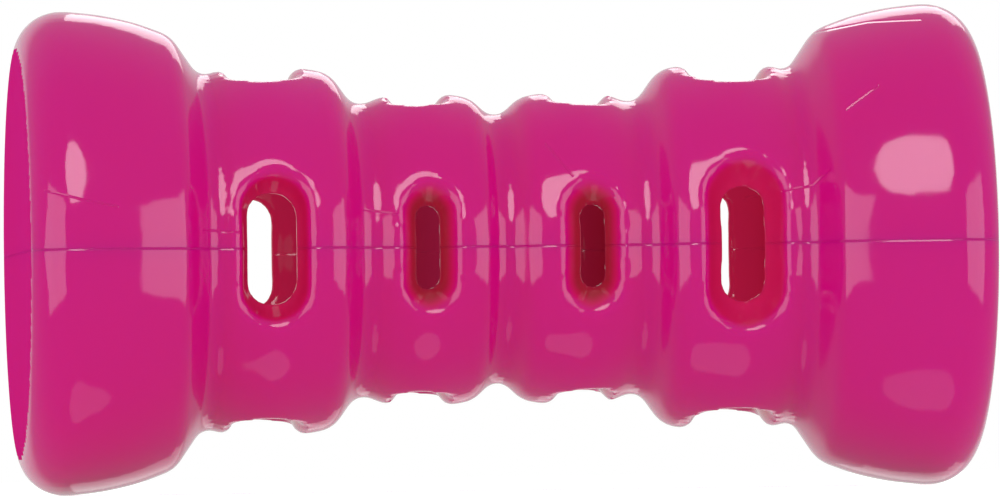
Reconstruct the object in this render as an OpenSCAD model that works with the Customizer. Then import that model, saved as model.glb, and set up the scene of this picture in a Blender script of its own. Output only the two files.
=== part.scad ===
// Hollow rubber chew toy: two closed round end flanges, four bulged rings between them,
// and four oval slots round each ring. It lies on its flanges along X.
// It is an upper and a lower moulding, joined along the middle plane.

/* [Flanges] */
// Diameter of an end flange at its crown
flange_d = 75.4; // [71:0.2:86]
// Width of a flange from its foot beside the ring to its end face
flange_w = 28.1; // [25:0.1:36]
// Fall of the drum's radius from the crown to the edge of the flange's steep flank
flange_drum_fall = 3.2; // [2.4:0.1:4.4]
// Width of the flank, from the foot to the drum
flange_flank_w = 4; // [3:0.1:6]
// Width of the crown, the stretch of full diameter beside the end face
flange_crown_w = 9.4; // [8.5:0.1:12]
// Rounding between the flank and the drum
flange_shoulder_round = 4; // [2:0.1:5]
// Rounding between the crown and the end face
flange_end_round = 7; // [4:0.1:7.5]

/* [Rings] */
// Width of an inner ring from the waist to the next groove
inner_ring_w = 22.2; // [21:0.1:26]
// Diameter of an inner ring at its crest, before the crest is rounded
inner_ring_d = 50.4; // [49.4:0.1:52]
// Fall of an inner ring's radius from its crest to the shoulders on both sides
inner_ring_fall = 1.5; // [1:0.1:1.9]
// Width of an outer ring from the groove to the flange's foot
outer_ring_w = 24.7; // [24:0.1:29]
// Diameter of an outer ring at its crest, before the crest is rounded
outer_ring_d = 59; // [58:0.1:61]
// Fall of an outer ring's radius from its crest to the shoulder beside the groove
outer_ring_fall = 1.6; // [1.1:0.1:2]
// Fall of an outer ring's radius from its crest to the shoulder beside the flange
outer_foot_fall = 1.3; // [0.9:0.1:1.7]
// Distance of a ring's shoulders from the grooves beside it
ring_shoulder_in = 3.8; // [3.2:0.1:4.6]
// Distance of an outer ring's shoulder from the flange's foot
foot_shoulder_in = 2.4; // [2:0.1:3.2]
// Distance of an inner ring's crest and slots outward from the ring's middle
inner_crest_out = 1.5; // [0:0.1:2]
// Distance of an outer ring's crest and slots outward from the ring's middle
outer_crest_out = 2; // [0:0.1:2.4]
// Rounding along a ring's crest
ring_crest_round = 14; // [8:0.5:16]
// Rounding of a ring's shoulders
ring_shoulder_round = 3.5; // [2:0.1:4]

/* [Grooves] */
// Diameter at the bottom of the waist, the groove in the middle
waist_d = 40.4; // [39:0.1:43]
// Diameter at the bottom of the groove between an inner and an outer ring
groove_d = 45.4; // [44:0.1:46.4]
// Diameter at the flange's foot
foot_d = 54.4; // [53.4:0.1:55.2]
// Rounding at the bottom of the grooves
groove_round = 1.2; // [0.6:0.1:1.6]

/* [Hollow] */
// Diameter of the throat, the straight hollow under the waist
throat_d = 27.6; // [22:0.1:30]
// Length of the throat
throat_len = 8; // [5:0.1:10]
// Diameter of the hollow under the inner rings
inner_bore_d = 38.6; // [36:0.1:39.6]
// Diameter of the hollow under the outer rings
outer_bore_d = 43; // [41:0.1:45]
// Diameter of the hollow's chambers inside the flanges
chamber_d = 46; // [44:0.1:52]
// Thickness of the closed end walls
end_wall_t = 8; // [6:0.1:12]
// Rounding of the bends along the hollow
bore_round = 8; // [4:0.5:9]

/* [Slots] */
// Number of slots round each ring
slots_per_ring = 4; // [2:2:4]
// Width of an inner ring's slot where it opens into the hollow
inner_slot_w = 3.8; // [3.4:0.1:4.4]
// Width of an inner ring's slot across its lips
inner_lips_w = 11; // [10.4:0.1:11.4]
// Half of the angle between the round ends of an inner ring's slot
inner_slot_reach = 12.7; // [8:0.1:15]
// Width of an outer ring's slot where it opens into the hollow
outer_slot_w = 7.2; // [6.4:0.1:7.6]
// Width of an outer ring's slot across its lips
outer_lips_w = 14.2; // [13.6:0.1:14.6]
// Half of the angle between the round ends of a slot in the left outer ring
left_slot_reach = 13; // [10:0.1:16]
// Half of the angle between the round ends of a slot in the right outer ring
right_slot_reach = 15; // [10:0.1:16]
// Rounding of the lips round every slot
lip_round = 2.8; // [2:0.1:3]

/* [Hidden] */
rubber_colour = [0.78, 0.11, 0.46];
// Angle that one straight piece of a rounded corner turns through
arc_step = 10;
// Overrun of a cut past the surface that it opens
cut_over = 2;
// Height of a slot's lip above the ring's surface beside it
lip_rise = 0.08;
// Angle that a lip's rounding runs on past its top, to meet the falling surface of the ring
lip_overturn = 10;
// Angle by which the two halves of a slot's cutter overlap beyond the middle
slot_lap = 2;
groove_x = inner_ring_w;
foot_x = groove_x + outer_ring_w;
end_x = foot_x + flange_w;
inner_ring_x = inner_ring_w / 2 + inner_crest_out;
outer_ring_x = groove_x + outer_ring_w / 2 + outer_crest_out;
throat_x = throat_len / 2;

// Arc that rounds the corner p, between its neighbours a and b, to the radius r
function corner(a, p, b, r) =
    let (
        to_a = (a - p) / norm(a - p),
        to_b = (b - p) / norm(b - p),
        half = acos(to_a * to_b) / 2,
        start = p + to_a * r / tan(half),
        centre = p + (to_a + to_b) / norm(to_a + to_b) * r / sin(half),
        first = atan2(start.y - centre.y, start.x - centre.x),
        turn = -sign(to_a.x * to_b.y - to_a.y * to_b.x) * (180 - 2 * half),
        steps = ceil(abs(turn) / arc_step)
    )
    [for (i = [0:steps]) centre + r * [cos(first + turn * i / steps), sin(first + turn * i / steps)]];

// Outline through points of [x, radius, rounding], with every corner rounded and its ends on the axis
function outline_of(pts) =
    let (
        n = len(pts),
        at = concat([[pts[0].x, 0]], [for (p = pts) [p.x, p.y]], [[pts[n - 1].x, 0]])
    )
    concat([at[0]], [for (i = [1:n]) each corner(at[i - 1], at[i], at[i + 1], pts[i - 1].z)], [at[n + 1]]);

// Radius of the toy's surface at the distance x along it
function surface_r(x) = lookup(x, body_outline);
function reversed(pts) = [for (i = [len(pts) - 1:-1:0]) pts[i]];
function mirrored(pts) = [for (p = pts) [-p.x, p.y, p.z]];

// Right half of the outside, from beside the waist to the end face
outside = [
    [ring_shoulder_in, inner_ring_d / 2 - inner_ring_fall, ring_shoulder_round],
    [inner_ring_x, inner_ring_d / 2, ring_crest_round],
    [groove_x - ring_shoulder_in, inner_ring_d / 2 - inner_ring_fall, ring_shoulder_round],
    [groove_x, groove_d / 2, groove_round],
    [groove_x + ring_shoulder_in, outer_ring_d / 2 - outer_ring_fall, ring_shoulder_round],
    [outer_ring_x, outer_ring_d / 2, ring_crest_round],
    [foot_x - foot_shoulder_in, outer_ring_d / 2 - outer_foot_fall, ring_shoulder_round],
    [foot_x, foot_d / 2, groove_round],
    [foot_x + flange_flank_w, flange_d / 2 - flange_drum_fall, flange_shoulder_round],
    [end_x - flange_crown_w, flange_d / 2, flange_end_round],
    [end_x, flange_d / 2, flange_end_round]
];
// Right half of the hollow, from the throat to the chamber inside the flange
hollow = [
    [throat_x, throat_d / 2, groove_round],
    [inner_ring_x - ring_shoulder_in, inner_bore_d / 2, bore_round],
    [groove_x + ring_shoulder_in / 2, inner_bore_d / 2, bore_round],
    [outer_ring_x - outer_lips_w / 2, outer_bore_d / 2, bore_round],
    [end_x - end_wall_t, chamber_d / 2, bore_round]
];
body_outline = outline_of(concat(reversed(mirrored(outside)), [[0, waist_d / 2, groove_round]], outside));
hollow_outline = outline_of(concat(reversed(mirrored(hollow)), hollow));

// Half a turn of an outline, with the toy's axis along Z and the flat side at Y = 0
module half_turn(outline) {
    rotate_extrude(angle = 180)
        polygon([for (p = outline) [p.y, p.x]]);
}

// One half of the wall
module half_wall() {
    difference() {
        half_turn(body_outline);
        half_turn(hollow_outline);
    }
}

// Half of a slot's section: a drafted wall that runs into the lip's rounding
module slot_section(half_w, lip_w, lip_r, bore_r, ring_r) {
    centre = [lip_w - lip_round * sin(lip_overturn), lip_r - lip_round * cos(lip_overturn)];
    draft = atan2(centre.x - lip_round - half_w, centre.y - bore_r);
    tangent = centre + lip_round * [-cos(draft), sin(draft)];
    r_in = bore_r - cut_over;
    r_out = ring_r + cut_over;
    foot = tangent.x - (tangent.y - r_in) * tan(draft);
    difference() {
        polygon([[0, r_in], [foot, r_in], tangent, centre, [lip_w, lip_r], [lip_w, r_out], [0, r_out]]);
        translate(centre)
            circle(lip_round);
    }
}

// Cutter for one slot: two equal halves, each an arched length and a round end, flared at the lip
module slot(ring_x, width, lips_w, reach, bore_r, ring_r) {
    lip_w = lips_w / 2;
    end_r = sqrt(pow(surface_r(ring_x), 2) - pow(lip_w, 2));
    lip_r = lip_rise + max(surface_r(ring_x - lip_w), surface_r(ring_x + lip_w), end_r);
    translate([0, 0, ring_x])
        for (half = [0, 1])
            mirror([0, half, 0])
                rotate([0, 0, reach]) {
                    rotate([0, 90, 0])
                        rotate_extrude(angle = 180)
                            slot_section(width / 2, lip_w, lip_r, bore_r, ring_r);
                    rotate_extrude(angle = -reach - slot_lap)
                        rotate(-90)
                            for (side = [0, 1])
                                mirror([side, 0])
                                    slot_section(width / 2, lip_w, lip_r, bore_r, ring_r);
                }
}

// The slots that one half holds or shares, in the ring at ring_x
module ring_slots(ring_x, width, lips_w, reach, bore_d, ring_d) {
    for (i = [0:slots_per_ring / 2])
        rotate([0, 0, i * 360 / slots_per_ring])
            slot(ring_x, width, lips_w, reach, bore_d / 2, ring_d / 2);
}

// What it is given, with an inner ring's slots cut out
module inner_ring_cut(ring_x) {
    difference() {
        children();
        ring_slots(ring_x, inner_slot_w, inner_lips_w, inner_slot_reach, inner_bore_d, inner_ring_d);
    }
}

// What it is given, with an outer ring's slots cut out
module outer_ring_cut(ring_x, reach) {
    difference() {
        children();
        ring_slots(ring_x, outer_slot_w, outer_lips_w, reach, outer_bore_d, outer_ring_d);
    }
}

// Half of the moulding with its slots, on the toy's own axes, turned to the side that face gives
module half_shell(face) {
    translate([0, 0, flange_d / 2])
        rotate([0, 90, 0])
            rotate([0, 0, face])
                outer_ring_cut(-outer_ring_x, left_slot_reach)
                    inner_ring_cut(-inner_ring_x)
                        inner_ring_cut(inner_ring_x)
                            outer_ring_cut(outer_ring_x, right_slot_reach)
                                half_wall();
}

// Upper half of the moulding, above the parting line
module upper_shell() {
    color(rubber_colour)
        half_shell(90);
}

// Lower half of the moulding, below the parting line
module lower_shell() {
    color(rubber_colour)
        half_shell(-90);
}

upper_shell();
lower_shell();
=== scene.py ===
import math

import bpy
from mathutils import Matrix, Quaternion, Vector


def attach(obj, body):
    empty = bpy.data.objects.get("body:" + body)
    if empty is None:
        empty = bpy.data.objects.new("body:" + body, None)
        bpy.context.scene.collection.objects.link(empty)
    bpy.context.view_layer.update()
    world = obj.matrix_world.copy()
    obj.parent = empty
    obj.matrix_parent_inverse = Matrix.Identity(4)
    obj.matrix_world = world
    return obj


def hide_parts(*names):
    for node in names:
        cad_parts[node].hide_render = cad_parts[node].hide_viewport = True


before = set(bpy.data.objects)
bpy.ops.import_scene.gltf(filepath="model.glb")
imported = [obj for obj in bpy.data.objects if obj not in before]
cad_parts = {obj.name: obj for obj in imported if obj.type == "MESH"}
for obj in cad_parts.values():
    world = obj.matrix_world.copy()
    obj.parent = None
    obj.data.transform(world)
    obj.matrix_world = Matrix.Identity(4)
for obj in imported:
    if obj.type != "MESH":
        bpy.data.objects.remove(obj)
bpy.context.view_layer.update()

# The rubber wall
# The toy is one hollow spool of soft rubber: two heavy closed end flanges, four bulged rings
# between them, and a hollow that is narrow at the waist and wide towards the ends.
# Body and hollow are turned round the toy's axis, which lies along X above the floor.
mm = 0.001
axis_height = 0.0377
half_length = 0.075
turned_steps = 180
# Angle in degrees that one straight piece of a rounded corner turns through
outside_step, hollow_step = 5, 10

# Points of distance along the toy, radius and rounding, in millimetres
wall_outside = [
    (3.9, 23.7, 4.4), (12.6, 25.2, 14.0), (18.2, 23.8, 4.4), (22.1, 22.2, 3.0),
    (26.1, 27.9, 4.6), (36.55, 29.5, 14.0), (43.6, 28.3, 4.0), (46.2, 27.0, 2.6),
    (50.9, 33.9, 4.5), (56.5, 36.0, 26.0), (62.0, 37.2, 34.0), (67.0, 37.7, 7.0),
    (75.0, 37.7, 7.0),
]
wall_inside = [
    (4.0, 13.8, 1.2), (8.8, 19.3, 8.0), (24.1, 19.3, 8.0), (29.45, 21.5, 8.0), (67.0, 23.0, 8.0),
]
waist = (0.0, 19.7, 3.0)


def draw_outline(name, points, place):
    """A new object whose mesh is a line through points of distance along the toy and height, in
    millimetres from the place on the toy's axis. It stays in edit mode, with all of it selected."""
    bpy.ops.object.select_all(action="DESELECT")
    bpy.ops.mesh.primitive_plane_add(size=mm, location=place)
    line = bpy.context.object
    line.name = name
    bpy.ops.object.mode_set(mode="EDIT")
    bpy.ops.mesh.merge(type="CENTER")
    bpy.ops.transform.translate(value=(points[0].x * mm, 0, points[0].y * mm))
    for at, point in zip(points, points[1:]):
        move = (point - at) * mm
        bpy.ops.mesh.extrude_vertices_move(TRANSFORM_OT_translate={"value": (move.x, 0, move.y)})
    bpy.ops.mesh.select_all(action="SELECT")
    return line


def turned(name, right_half, middle_points, step):
    """A closed body: both halves of an outline, rounded at its corners and spun round the axis."""
    corners = [(-x, r, a) for x, r, a in reversed(right_half)] + middle_points + list(right_half)
    ends = Vector((corners[0][0], 0)), Vector((corners[-1][0], 0))
    outline = [ends[0]]
    for i, (x, r, rounding) in enumerate(corners):
        here = Vector((x, r))
        before = (Vector(corners[i - 1][:2]) if i else ends[0]) - here
        after = (Vector(corners[i + 1][:2]) if i + 1 < len(corners) else ends[1]) - here
        half = before.angle(after) / 2
        towards = (before.normalized() + after.normalized()).normalized()
        middle = here + towards * rounding / math.sin(half)
        start = here + before.normalized() * rounding / math.tan(half) - middle
        turn = math.pi - 2 * half
        if before.x * after.y - before.y * after.x > 0:
            turn = -turn
        count = max(2, math.ceil(abs(turn) / math.radians(step)))
        outline += [middle + Matrix.Rotation(turn * k / count, 2) @ start for k in range(count + 1)]
    outline.append(ends[1])
    place = (0, 0, axis_height)
    body = draw_outline(name, outline, place)
    bpy.ops.mesh.spin(steps=turned_steps, angle=2 * math.pi, center=place, axis=(1, 0, 0))
    bpy.ops.mesh.select_all(action="SELECT")
    bpy.ops.mesh.remove_doubles(threshold=1e-6)
    bpy.ops.mesh.normals_make_consistent(inside=False)
    bpy.ops.object.mode_set(mode="OBJECT")
    return body


def cut_away(body, tool):
    """Takes the tool's shape out of the body and removes the tool."""
    cut = body.modifiers.new("cut", "BOOLEAN")
    cut.operation = "DIFFERENCE"
    cut.solver = "EXACT"
    cut.object = tool
    bpy.ops.object.select_all(action="DESELECT")
    bpy.context.view_layer.objects.active = body
    bpy.ops.object.modifier_apply(modifier=cut.name)
    bpy.data.objects.remove(tool)


wall = turned("rubber_wall", wall_outside, [waist], outside_step)
cut_away(wall, turned("hollow", wall_inside, [], hollow_step))

# The oval slots
# Side pins of the mould leave four slots round every ring, in line with each other,
# with round ends and a soft lip that flares out to the ring's surface.
slots_per_ring = 4
lip_overturn = math.radians(10)
# In millimetres: a pin starts below the bore, is nearly straight a little way into the wall,
# and ends clear of the ring
pin_foot, land_height, land_draft, pin_over = 1.2, 1.3, 0.15, 6

# Of each ring: its place along the toy, the slot's width at the bore and across its lips, the lips'
# rounding, half the angle between the slot's round ends in degrees, and the bore's and lips' radius
ring_slots = (
    (-37.0, 7.2, 14.4, 2.0, 13.0, 21.5, 28.5),
    (-12.6, 3.3, 11.5, 1.6, 13.8, 19.3, 24.35),
    (13.0, 3.3, 12.0, 1.6, 13.6, 19.3, 24.35),
    (36.2, 6.2, 16.2, 2.0, 14.9, 21.5, 28.5),
)


def cut_slots(ring_x, width, lips_width, lip, reach, bore, top):
    """Cuts the four slots of one ring: a flared section swept round an oval path."""
    middle = Vector((lips_width / 2 - lip * math.sin(lip_overturn), top - lip * math.cos(lip_overturn)))
    land = Vector((width / 2 + land_draft, bore + land_height))
    draft = math.atan2(middle.x - lip - land.x, middle.y - land.y)
    arc = math.pi / 2 + lip_overturn - draft
    flare = [middle + lip * Vector((-math.cos(draft + arc * k / 12), math.sin(draft + arc * k / 12)))
             for k in range(13)]
    foot = Vector((width / 2, bore - pin_foot))
    section = [foot, land] + flare + [Vector((lips_width / 2, top + pin_over))]
    centre = (ring_x * mm, 0, axis_height)
    pin = draw_outline("slot_pin", section, centre)
    turn = math.radians(reach)
    bpy.ops.mesh.spin(steps=10, angle=turn, center=centre, axis=(1, 0, 0))
    bpy.ops.mesh.spin(steps=24, angle=-math.pi, center=centre, axis=(0, math.sin(turn), math.cos(turn)))
    bpy.ops.mesh.spin(steps=20, angle=-2 * turn, center=centre, axis=(1, 0, 0))
    bpy.ops.mesh.spin(steps=24, angle=-math.pi, center=centre, axis=(0, -math.sin(turn), math.cos(turn)))
    bpy.ops.mesh.spin(steps=10, angle=turn, center=centre, axis=(1, 0, 0))
    bpy.ops.mesh.select_all(action="SELECT")
    bpy.ops.mesh.remove_doubles(threshold=2e-6)
    bpy.ops.mesh.fill_holes(sides=0)
    bpy.ops.mesh.normals_make_consistent(inside=False)
    bpy.ops.mesh.select_all(action="SELECT")
    copies = slots_per_ring - 1
    bpy.ops.mesh.spin(steps=copies, angle=copies * 2 * math.pi / slots_per_ring, dupli=True,
                      center=centre, axis=(1, 0, 0))
    bpy.ops.object.mode_set(mode="OBJECT")
    cut_away(wall, pin)


for ring in ring_slots:
    cut_slots(*ring)

# The moulded skin
# Soft rubber fills no sharp corner, so the whole wall is drawn over once and relaxed:
# the lips, grooves and flange edges run into each other without a crease.
skin_grain = 0.66 * mm
wall.data.materials.clear()
skin = wall.modifiers.new("skin", "REMESH")
skin.mode = "VOXEL"
skin.voxel_size = skin_grain
relax = wall.modifiers.new("relax", "SMOOTH")
relax.factor = 0.5
relax.iterations = 6
bpy.context.view_layer.objects.active = wall
bpy.ops.object.modifier_apply(modifier=skin.name)
bpy.ops.object.modifier_apply(modifier=relax.name)

# The two halves
# The mould parts along the toy's middle plane. Each half is a piece, as in the solids, and
# falls away a little towards the line where the two met.
waist_radius = 20.2
# Within this distance from the middle, what lies below the skin is a slot's wall or the hollow
rings_reach = 48 * mm
# Past it and up to this distance only the hollow counts, which lies at least so deep
hollow_reach, hollow_depth = 66 * mm, 6 * mm
# The fall at the parting line as a share of the radius, the angle over which it fades out,
# and the depth down to which it is the outside that falls
fall_share, fall_angle, fall_depth = 0.0035, 0.11, 2 * mm
crease_angle = math.radians(35)


def skin_radius(x):
    """Radius of the toy's outside at x, along the straight lines between its outline's points."""
    points = [(0.0, waist_radius)] + [(at, r) for at, r, _ in wall_outside]
    x = min(abs(x) / mm, half_length / mm - 0.1)
    for (x0, r0), (x1, r1) in zip(points, points[1:]):
        if x0 <= x <= x1:
            return (r0 + (r1 - r0) * (x - x0) / (x1 - x0)) * mm


def moulded_half(name, node, keep_upper):
    """One half of the wall, closed along the parting plane, with each point's depth below the skin for the
    painted shade and glow.
    """
    bpy.ops.object.select_all(action="DESELECT")
    wall.select_set(True)
    bpy.context.view_layer.objects.active = wall
    bpy.ops.object.duplicate()
    half = bpy.context.object
    half.name = name
    bpy.ops.object.transform_apply(location=True, rotation=True, scale=True)
    bpy.ops.object.mode_set(mode="EDIT")
    bpy.ops.mesh.select_all(action="SELECT")
    bpy.ops.mesh.bisect(plane_co=(0, 0, axis_height), plane_no=(0, 0, 1), threshold=1e-7,
                        clear_inner=keep_upper, clear_outer=not keep_upper)
    bpy.ops.mesh.fill_holes(sides=0)
    bpy.ops.mesh.select_all(action="SELECT")
    bpy.ops.mesh.normals_make_consistent(inside=False)
    bpy.ops.object.mode_set(mode="OBJECT")
    depth = half.data.attributes.new("depth", "FLOAT", "POINT")
    for v in half.data.vertices:
        arm = Vector((0, v.co.y, v.co.z - axis_height))
        below = skin_radius(v.co.x) - arm.length
        reach = hollow_reach if below > hollow_depth else rings_reach
        depth.data[v.index].value = below if abs(v.co.x) < reach else 0
        if below < fall_depth:
            above_line = math.asin(min(1, abs(arm.z) / arm.length))
            v.co -= arm * fall_share * math.exp(-above_line / fall_angle)
    bpy.ops.object.shade_smooth_by_angle(angle=crease_angle)
    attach(half, "root")
    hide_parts(node)
    return half


upper_half = moulded_half("upper_half", "upper_shell", True)
lower_half = moulded_half("lower_half", "lower_shell", False)
bpy.data.objects.remove(wall)

# The rubber
# Magenta rubber, dyed through and moulded against a polished steel tool: a wet gloss
# over a slightly uneven skin, and light that reaches a little way into the surface.
# Painted shade turns the walls of the slots and hollow crimson and dark red, and a painted glow lightens
# them.
magenta, magenta_cloud = (0.89, 0.003, 0.27, 1), (0.87, 0.004, 0.33, 1)
# Painted shade on the slots' walls, darker painted shade on the inner rings' deeper walls, and the colour of
# a painted glow
painted_shade_crimson, painted_dark_shade, painted_glow_colour = (0.84, 0.014, 0.15, 1), (0.55, 0.02, 0.05, 1), (1.0, 0.07, 0.32, 1)
# Depths below the skin over which painted shade turns the magenta crimson, over which darker painted
# shade turns that dark red in the inner rings, and over which the painted glow grows to its strength
painted_shade_from, painted_shade_full = 0.6 * mm, 2.2 * mm
dark_shade_from, dark_shade_full = 1.6 * mm, 3.4 * mm
painted_glow_from, painted_glow_full, painted_glow_strength = 2 * mm, 8 * mm, 0.10
# Distances from the middle where the inner rings end and the outer ones begin, over which the dark painted
# shade fades out
inner_rings_end, outer_rings_start = 22 * mm, 26 * mm
smoothest, roughest = 0.06, 0.12
rubber = bpy.data.materials.new("magenta_rubber")
rubber.use_nodes = True
tree = rubber.node_tree
gloss = tree.nodes["Principled BSDF"]
gloss.inputs["IOR"].default_value = 1.5
gloss.inputs["Subsurface Weight"].default_value = 0.25
gloss.inputs["Subsurface Radius"].default_value = (1.0, 0.06, 0.2)
gloss.inputs["Subsurface Scale"].default_value = 4 * mm
place = tree.nodes.new("ShaderNodeTexCoord")
cloud = tree.nodes.new("ShaderNodeTexNoise")
cloud.inputs["Scale"].default_value = 22.0
cloud.inputs["Detail"].default_value = 2.0
tree.links.new(place.outputs["Object"], cloud.inputs["Vector"])


def blended(first, second, share):
    """A colour node that goes from the first to the second. Each is a colour or another's socket."""
    mix = tree.nodes.new("ShaderNodeMix")
    mix.data_type = "RGBA"
    tree.links.new(share, mix.inputs[0])
    for colour, socket in ((first, mix.inputs[6]), (second, mix.inputs[7])):
        if isinstance(colour, tuple):
            socket.default_value = colour
        else:
            tree.links.new(colour, socket)
    return mix


def ramp(value, start, end, low, high, smooth):
    """A socket that goes from low to high while the value goes from start to end."""
    rise = tree.nodes.new("ShaderNodeMapRange")
    if smooth:
        rise.interpolation_type = "SMOOTHSTEP"
    rise.inputs["From Min"].default_value = start
    rise.inputs["From Max"].default_value = end
    rise.inputs["To Min"].default_value = low
    rise.inputs["To Max"].default_value = high
    tree.links.new(value, rise.inputs["Value"])
    return rise.outputs["Result"]


dye = blended(magenta, magenta_cloud, cloud.outputs["Fac"])
inside = tree.nodes.new("ShaderNodeAttribute")
inside.attribute_name = "depth"
depth_below_skin = inside.outputs["Fac"]
# Painted shade: the walls of the slots and the hollow turn crimson with their depth below the skin
painted_shade_share = ramp(depth_below_skin, painted_shade_from, painted_shade_full, 0.0, 1.0, True)
painted_shade_mix = blended(dye.outputs[2], painted_shade_crimson, painted_shade_share)
# Painted shade: the narrow inner slots get less light than the outer ones, so their deeper walls are painted
# dark red
along_toy = tree.nodes.new("ShaderNodeSeparateXYZ")
tree.links.new(place.outputs["Object"], along_toy.inputs[0])
from_waist = tree.nodes.new("ShaderNodeMath")
from_waist.operation = "ABSOLUTE"
tree.links.new(along_toy.outputs["X"], from_waist.inputs[0])
inner_shade_share = tree.nodes.new("ShaderNodeMath")
inner_shade_share.operation = "MULTIPLY"
inner_share = ramp(from_waist.outputs[0], inner_rings_end, outer_rings_start, 1.0, 0.0, False)
tree.links.new(inner_share, inner_shade_share.inputs[0])
tree.links.new(ramp(depth_below_skin, dark_shade_from, dark_shade_full, 0.0, 1.0, True), inner_shade_share.inputs[1])
painted_dark_mix = blended(painted_shade_mix.outputs[2], painted_dark_shade, inner_shade_share.outputs[0])
tree.links.new(painted_dark_mix.outputs[2], gloss.inputs["Base Color"])
# Painted glow: the rubber gives off a faint light of its own, growing with depth below the skin, to lighten
# the slots and hollow
gloss.inputs["Emission Color"].default_value = painted_glow_colour
painted_glow = ramp(depth_below_skin, painted_glow_from, painted_glow_full, 0.0, painted_glow_strength, True)
tree.links.new(painted_glow, gloss.inputs["Emission Strength"])
polish = ramp(cloud.outputs["Fac"], 0.0, 1.0, smoothest, roughest, False)
tree.links.new(polish, gloss.inputs["Roughness"])


def raised(height, strength, distance, under):
    """A bump node over the one under it."""
    bump = tree.nodes.new("ShaderNodeBump")
    bump.inputs["Strength"].default_value = strength
    bump.inputs["Distance"].default_value = distance
    tree.links.new(height, bump.inputs["Height"])
    if under:
        tree.links.new(under.outputs["Normal"], bump.inputs["Normal"])
    return bump


wobble = tree.nodes.new("ShaderNodeTexNoise")
wobble.inputs["Scale"].default_value = 55.0
wobble.inputs["Detail"].default_value = 1.0
tree.links.new(place.outputs["Object"], wobble.inputs["Vector"])
uneven = raised(wobble.outputs["Fac"], 0.45, 0.6 * mm, None)
grain = tree.nodes.new("ShaderNodeTexNoise")
grain.inputs["Scale"].default_value = 260.0
grain.inputs["Detail"].default_value = 2.0
tree.links.new(place.outputs["Object"], grain.inputs["Vector"])
pores = raised(grain.outputs["Fac"], 0.3, 0.06 * mm, uneven)
# Fine lines in the skin: the parting line, and places where the flowing rubber met.
# Each runs from x, z to x, z, in millimetres, with z counted from the toy's axis.
flow_lines = (
    (-75.0, 0.0, 75.0, 0.0),
    (-48.1, 2.9, -42.2, 2.5), (-22.7, 5.9, -17.6, 5.1), (42.0, 8.0, 46.8, 8.8), (46.8, 8.8, 49.0, 11.2),
    (-72.7, 9.0, -66.8, 7.5), (-66.8, 7.5, -61.8, 6.5), (52.0, 20.4, 57.2, 24.1), (6.2, 15.8, 9.8, 10.8),
    (49.4, 33.1, 57.8, 34.6), (57.8, 34.6, 65.6, 34.8),
)
flow_line_width = 0.22 * mm
level = tree.nodes.new("ShaderNodeVectorMath")
level.operation = "MULTIPLY"
level.inputs[1].default_value = (1, 0, 1)
tree.links.new(place.outputs["Object"], level.inputs[0])
nearest = None
for x0, z0, x1, z1 in flow_lines:
    along = Vector((x1 - x0, 0, z1 - z0)) * mm
    past = tree.nodes.new("ShaderNodeVectorMath")
    past.operation = "SUBTRACT"
    past.inputs[1].default_value = (x0 * mm, 0, axis_height + z0 * mm)
    tree.links.new(level.outputs[0], past.inputs[0])
    share = tree.nodes.new("ShaderNodeVectorMath")
    share.operation = "DOT_PRODUCT"
    share.inputs[1].default_value = along / along.length_squared
    tree.links.new(past.outputs[0], share.inputs[0])
    within = tree.nodes.new("ShaderNodeClamp")
    tree.links.new(share.outputs["Value"], within.inputs["Value"])
    foot = tree.nodes.new("ShaderNodeVectorMath")
    foot.operation = "SCALE"
    foot.inputs[0].default_value = along
    tree.links.new(within.outputs[0], foot.inputs["Scale"])
    gap = tree.nodes.new("ShaderNodeVectorMath")
    gap.operation = "DISTANCE"
    tree.links.new(past.outputs[0], gap.inputs[0])
    tree.links.new(foot.outputs[0], gap.inputs[1])
    if nearest is None:
        nearest = gap.outputs["Value"]
    else:
        less = tree.nodes.new("ShaderNodeMath")
        less.operation = "MINIMUM"
        tree.links.new(nearest, less.inputs[0])
        tree.links.new(gap.outputs["Value"], less.inputs[1])
        nearest = less.outputs[0]
met = raised(ramp(nearest, 0.0, flow_line_width, 0.0, 1.0, False), 0.8, 0.12 * mm, pores)
tree.links.new(met.outputs["Normal"], gloss.inputs["Normal"])
# The flat end faces carry no gloss, or they would mirror the white backdrop at a glancing angle; in its
# place their dye is paler, a painted sheen
end_face_tilt, end_face_start = 0.985, 73.5 * mm
flat = rubber.copy()
flat.name = "matt_rubber_painted_sheen"
flat.node_tree.nodes["Principled BSDF"].inputs["Specular IOR Level"].default_value = 0.0
# Painted sheen: a paler dye on the end faces stands in for the gloss they lack
painted_sheen_dye = flat.node_tree.nodes[dye.name]
painted_sheen_dye.inputs[6].default_value = (0.85, 0.017, 0.24, 1)
painted_sheen_dye.inputs[7].default_value = (0.83, 0.019, 0.29, 1)
for half in (upper_half, lower_half):
    half.data.materials.clear()
    half.data.materials.append(rubber)
    half.data.materials.append(flat)
    for face in half.data.polygons:
        face.material_index = int(abs(face.normal.x) > end_face_tilt and abs(face.center.x) > end_face_start)

# The floor
# A plain white table that the toy lies on. It glows where the camera sees it, so that it stays
# white to the horizon, and the toy's gloss doesn't mirror it.
floor_size = 6
bpy.ops.object.select_all(action="DESELECT")
bpy.ops.mesh.primitive_plane_add(size=floor_size, location=(0, 0, 0))
floor = bpy.context.object
floor.name = "floor"
floor.visible_glossy = False
white = bpy.data.materials.new("white_table")
white.use_nodes = True
matt = white.node_tree.nodes["Principled BSDF"]
matt.inputs["Base Color"].default_value = (0.86, 0.86, 0.86, 1)
matt.inputs["Roughness"].default_value = 1.0
matt.inputs["Specular IOR Level"].default_value = 0.0
matt.inputs["Emission Color"].default_value = (1, 1, 1, 1)
seen = white.node_tree.nodes.new("ShaderNodeLightPath")
lit = white.node_tree.nodes.new("ShaderNodeMapRange")
lit.inputs["To Min"].default_value = 0.12
lit.inputs["To Max"].default_value = 0.7
white.node_tree.links.new(seen.outputs["Is Camera Ray"], lit.inputs["Value"])
white.node_tree.links.new(lit.outputs[0], matt.inputs["Emission Strength"])
floor.data.materials.append(white)

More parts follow.
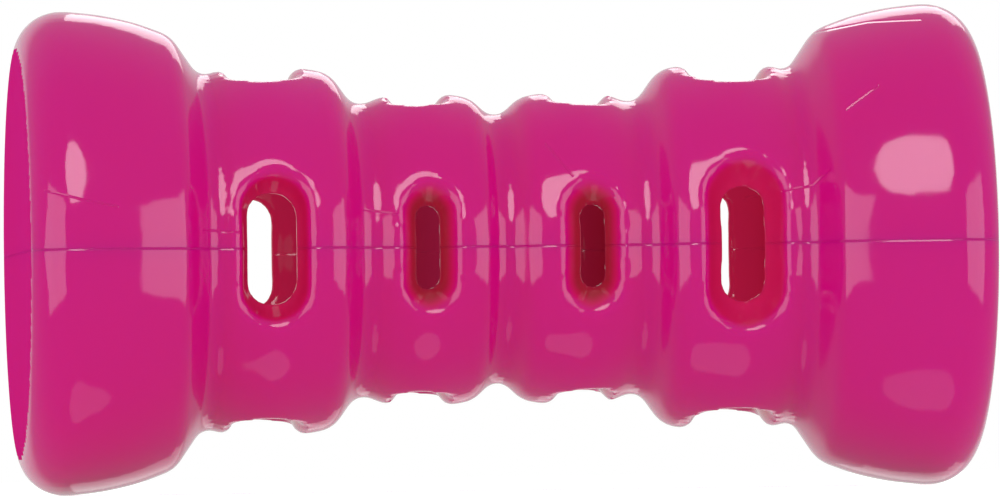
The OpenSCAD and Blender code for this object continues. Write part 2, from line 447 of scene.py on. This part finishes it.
# The light
# Even light from a white room. Soft boxes left and right in front of the toy, one above and one
# below are seen in its gloss, and two behind it light its upper and lower edges.
boxes = (
    ("left_box", "RECTANGLE", (-1.00, -0.75, 0.08), (1.10, 0.98), 6.4),
    ("right_box", "RECTANGLE", (1.00, -0.75, 0.08), (1.10, 0.98), 6.4),
    ("front_box", "ELLIPSE", (-0.16, -0.95, 0.78), (0.74, 0.66), 6.2),
    ("low_box", "ELLIPSE", (0.0, -0.28, -1.00), (0.50, 0.46), 0.32),
    ("back_high_box", "RECTANGLE", (0.30, 1.15, 0.62), (0.55, 0.40), 1.1),
    ("back_low_box", "RECTANGLE", (0.30, 1.15, -0.60), (0.55, 0.40), 0.4),
)
for name, form, spot, (wide, tall), power in boxes:
    lamp = bpy.data.lights.new(name, "AREA")
    lamp.shape = form
    lamp.size = wide
    lamp.size_y = tall
    lamp.energy = power
    box = bpy.data.objects.new(name, lamp)
    bpy.context.scene.collection.objects.link(box)
    box.location = spot
    box.rotation_euler = (Vector((0, 0, axis_height)) - Vector(spot)).to_track_quat("-Z", "Y").to_euler()
    box.visible_diffuse = False
    box.visible_camera = False
bpy.context.scene.view_settings.view_transform = "Standard"
world = bpy.data.worlds.new("white_studio")
bpy.context.scene.world = world
world.use_nodes = True
room = world.node_tree
compass = room.nodes.new("ShaderNodeTexCoord")
axes = room.nodes.new("ShaderNodeSeparateXYZ")
room.links.new(compass.outputs["Generated"], axes.inputs[0])
# In the gloss the room is dim, but for the white backdrop straight behind the toy
behind = room.nodes.new("ShaderNodeMapRange")
behind.interpolation_type = "SMOOTHSTEP"
behind.inputs["From Min"].default_value = 0.80
behind.inputs["From Max"].default_value = 0.93
behind.inputs["To Min"].default_value = 0.36
behind.inputs["To Max"].default_value = 0.72
room.links.new(axes.outputs["Y"], behind.inputs["Value"])
even = room.nodes["Background"]
even.inputs["Strength"].default_value = 0.66
even.inputs["Color"].default_value = (1, 1, 1, 1)
mirrored = room.nodes.new("ShaderNodeBackground")
mirrored.inputs["Color"].default_value = (1, 1, 1, 1)
room.links.new(behind.outputs[0], mirrored.inputs["Strength"])
backdrop = room.nodes.new("ShaderNodeBackground")
backdrop.inputs["Color"].default_value = (1, 1, 1, 1)
backdrop.inputs["Strength"].default_value = 1.0
ray = room.nodes.new("ShaderNodeLightPath")
in_gloss = room.nodes.new("ShaderNodeMixShader")
room.links.new(ray.outputs["Is Glossy Ray"], in_gloss.inputs[0])
room.links.new(even.outputs[0], in_gloss.inputs[1])
room.links.new(mirrored.outputs[0], in_gloss.inputs[2])
in_view = room.nodes.new("ShaderNodeMixShader")
room.links.new(ray.outputs["Is Camera Ray"], in_view.inputs[0])
room.links.new(in_gloss.outputs[0], in_view.inputs[1])
room.links.new(backdrop.outputs[0], in_view.inputs[2])
room.links.new(in_view.outputs[0], room.nodes["World Output"].inputs[0])

# The camera
# It stands nearly two metres off, just above the table and a little to the toy's left.
camera_distance = 1.877
aim_shift = 0.73 * mm
yaw, rise, tilt = math.radians(6.1), math.radians(1.05), math.radians(0.75)
lens = bpy.data.cameras.new("camera")
lens.lens = 432.0
lens.sensor_width = 36.0
lens.clip_end = 50.0
camera = bpy.data.objects.new("camera", lens)
bpy.context.scene.collection.objects.link(camera)
bpy.context.scene.camera = camera
ahead = Vector((math.sin(yaw) * math.cos(rise), math.cos(yaw) * math.cos(rise), math.sin(rise)))
across = ahead.cross(Vector((0, 0, 1))).normalized()
aim = Vector((0, 0, axis_height)) + across * aim_shift
camera.location = aim - ahead * camera_distance
camera.rotation_mode = "QUATERNION"
camera.rotation_quaternion = ahead.to_track_quat("-Z", "Y") @ Quaternion((0, 0, 1), -tilt)
